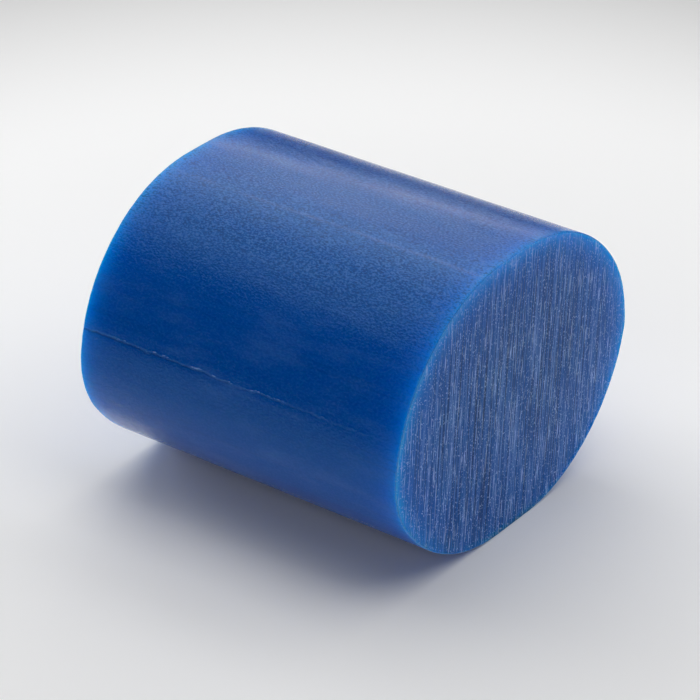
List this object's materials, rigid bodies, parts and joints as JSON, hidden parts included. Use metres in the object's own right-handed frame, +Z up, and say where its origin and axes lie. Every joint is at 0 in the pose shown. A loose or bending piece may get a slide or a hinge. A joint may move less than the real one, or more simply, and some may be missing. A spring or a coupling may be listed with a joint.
{
  "type": "carving wax bar",
  "caption": "Solid oval bar of blue carving wax for sawing and carving bangles, sawn square at both ends, with a narrow flat to rest on and a fine mould seam along each side.",
  "frame": {"origin": "on the surface the bar rests on, under the middle of its length and width", "axes": "+X along the bar towards its front sawn end, +Y across its width, +Z up across its height"},
  "size_m": [0.0746, 0.0762, 0.0591],
  "materials": {
    "wax": "satin"
  },
  "bodies": {
    "root": {"wax_bar": "wax"}
  },
  "joints": []
}
